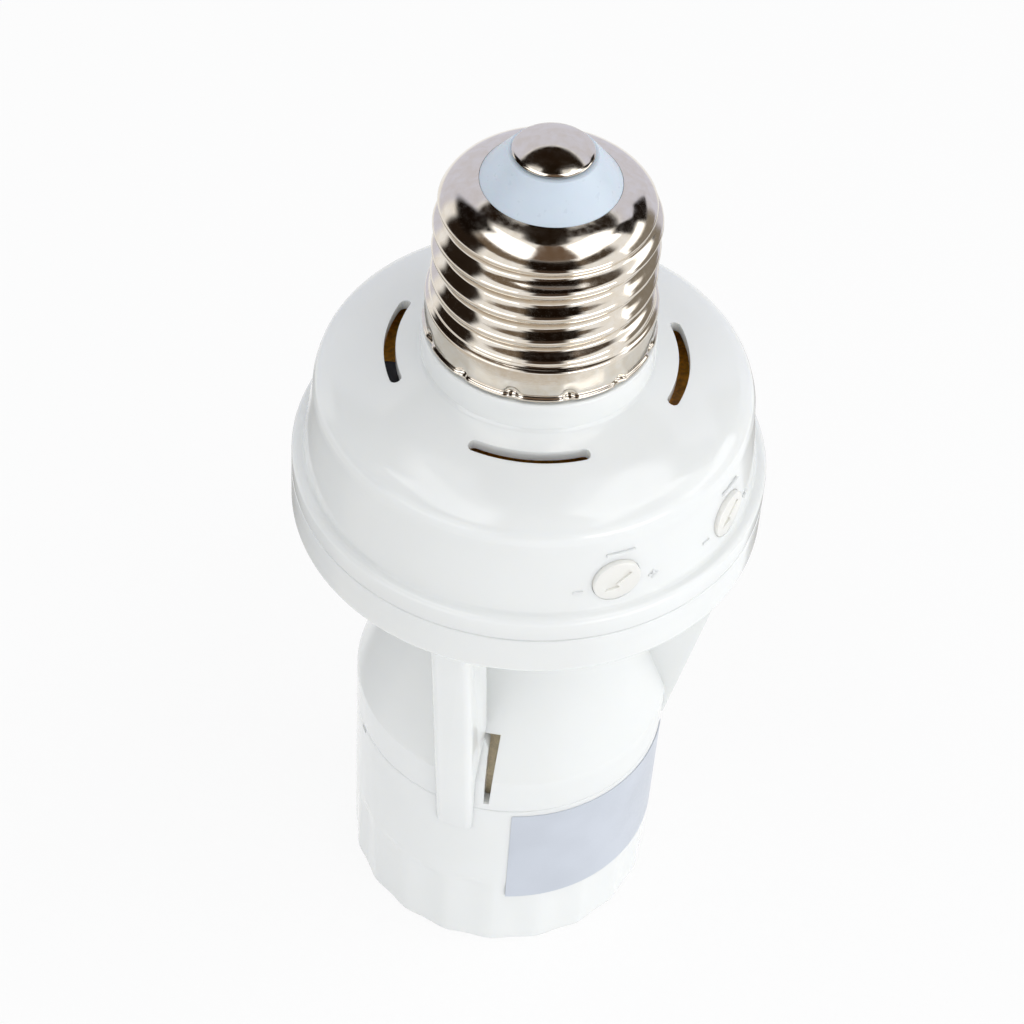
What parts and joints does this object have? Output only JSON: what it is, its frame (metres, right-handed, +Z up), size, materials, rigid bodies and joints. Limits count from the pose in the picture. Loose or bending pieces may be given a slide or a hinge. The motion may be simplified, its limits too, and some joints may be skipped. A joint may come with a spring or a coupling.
{
  "type": "motion sensor lamp holder",
  "caption": "White screw-in lamp holder with a motion sensor: screw cap, domed vented housing with two set knobs, neck with legs, and a fluted lamp socket.",
  "frame": {"origin": "centre of the lamp socket's mouth, in the plane of its rim", "axes": "+Z up along the axis of the socket and the screw cap, -Y to the front"},
  "size_m": [0.0582, 0.0582, 0.124],
  "materials": {
    "glossy_white_plastic": "glossy moulded white plastic",
    "nickel_plated_brass": "thin bright nickel plate on rolled brass",
    "white_insulator": "smooth white insulating disc",
    "tan_phenolic": "moulded tan phenolic",
    "brown_laminate": "brown phenolic board",
    "tan_insulating_board": "rolled tan insulating board",
    "yellow_film_capacitor": "yellow moulded case",
    "black_moulded_case": "black moulded case",
    "dark_sleeve": "shrunk dark sleeve",
    "grey_resistor_coating": "grey-green baked coating",
    "milky_polyethylene": "milky moulded polyethylene",
    "amber_photocell": "clear coated amber photocell",
    "brown_wire_insulation": "extruded brown insulation",
    "blue_wire_insulation": "extruded blue insulation"
  },
  "bodies": {
    "holder": {"cap_shell": "nickel_plated_brass", "cap_insulator": "white_insulator", "centre_contact": "nickel_plated_brass", "upper_housing": "glossy_white_plastic", "lower_housing": "glossy_white_plastic", "insulating_sleeve": "tan_insulating_board", "socket_barrel": "glossy_white_plastic", "socket_insert": "tan_phenolic", "socket_shell": "nickel_plated_brass", "shell_rivet": "nickel_plated_brass", "contact_anchor": "nickel_plated_brass", "circuit_board": "brown_laminate", "board_screw_left": "nickel_plated_brass", "board_screw_right": "nickel_plated_brass", "film_capacitor": "yellow_film_capacitor", "relay": "black_moulded_case", "electrolytic_capacitor": "dark_sleeve", "dropper_resistor": "grey_resistor_coating", "time_trimmer": "black_moulded_case", "lux_trimmer": "black_moulded_case", "sensor_board": "brown_laminate", "sensor_header": "black_moulded_case", "pir_sensor": "nickel_plated_brass", "light_sensor": "amber_photocell", "fresnel_lens": "milky_polyethylene", "lamp_live_wire": "brown_wire_insulation", "lamp_neutral_wire": "blue_wire_insulation", "cap_live_wire": "brown_wire_insulation", "cap_neutral_wire": "blue_wire_insulation"},
    "time_knob": {"time_knob": "glossy_white_plastic"},
    "lux_knob": {"lux_knob": "glossy_white_plastic"},
    "contact_tongue": {"contact_tongue": "nickel_plated_brass"}
  },
  "joints": [
    {"name": "time_knob_turn", "type": "hinge", "parent": "holder", "child": "time_knob", "pos_m": [0.01146, -0.02515, 0.0802], "axis": [0.4147, -0.91, 0], "range_deg": [-135, 135]},
    {"name": "lux_knob_turn", "type": "hinge", "parent": "holder", "child": "lux_knob", "pos_m": [0.0244, -0.01297, 0.0802], "axis": [0.8829, -0.4695, 0], "range_deg": [-135, 135]},
    {"name": "contact_tongue_flex", "type": "hinge", "parent": "holder", "child": "contact_tongue", "pos_m": [-0.0026, 0, 0.02635], "axis": [0, -1, 0], "range_deg": [0, 12], "stiffness_Nm_per_rad": 0.05, "springref_deg": -5.73}
  ]
}
